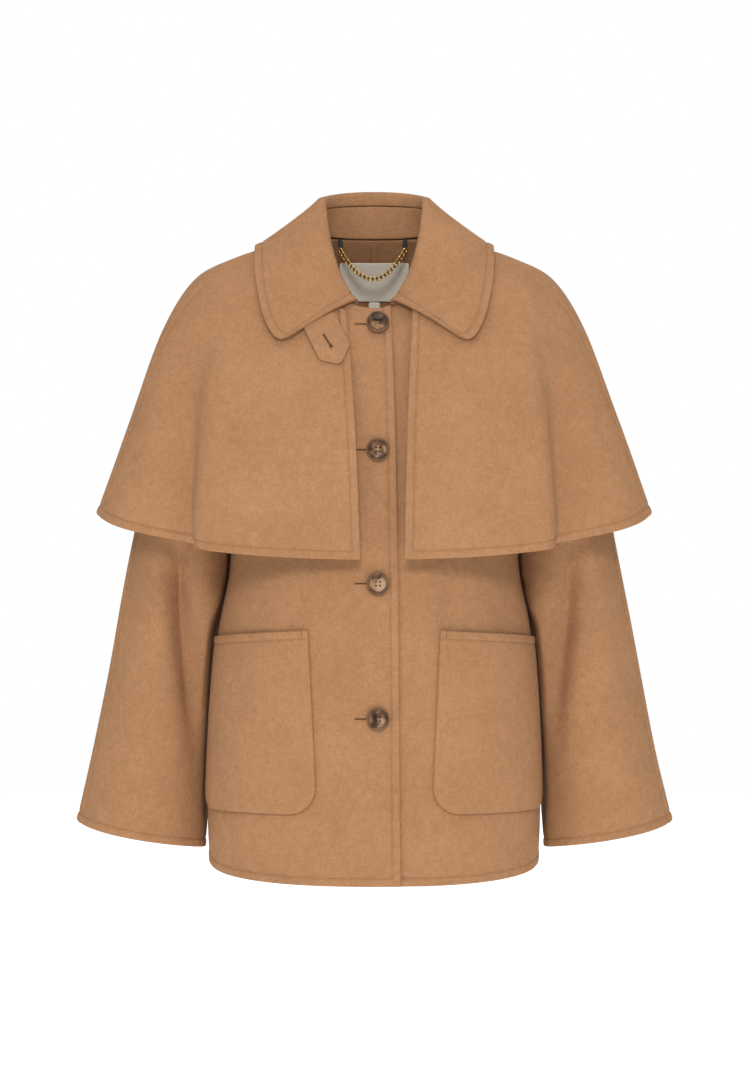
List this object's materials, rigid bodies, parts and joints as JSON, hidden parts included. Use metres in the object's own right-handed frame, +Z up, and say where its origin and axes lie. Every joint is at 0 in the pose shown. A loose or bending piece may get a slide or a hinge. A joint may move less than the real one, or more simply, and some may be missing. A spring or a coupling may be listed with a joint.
{
  "type": "short caped wool coat",
  "caption": "Short wool coat, filled out and hollow, with a buttoned front, wide sleeves, an open shoulder cape, a turned-down collar and patch pockets.",
  "frame": {"origin": "middle of the neck opening at the height of the shoulders, where the wearer holds the coat up", "axes": "+Z up, -Y out of the front, +X to the wearer's left"},
  "size_m": [0.656, 0.2997, 0.7601],
  "materials": {
    "wool": "matt brushed camel wool",
    "horn": "polished mottled horn",
    "label": "cream woven tape",
    "loop": "black tape",
    "chain": "polished brass"
  },
  "bodies": {
    "root": {"front_right": "wool", "front_left": "wool", "back_right": "wool", "back_left": "wool", "sleeve_right_front": "wool", "sleeve_right_back": "wool", "sleeve_left_front": "wool", "sleeve_left_back": "wool", "cape_front_right": "wool", "cape_front_left": "wool", "cape_back": "wool", "collar_stand": "wool", "collar_fall": "wool", "collar_tab": "wool", "pocket_right": "wool", "pocket_left": "wool", "button_1": "horn", "button_2": "horn", "button_3": "horn", "button_4": "horn", "neck_label": "label", "size_label": "label", "hanger_loop_right": "loop", "hanger_loop_left": "loop", "hanger_chain": "chain"}
  },
  "joints": []
}
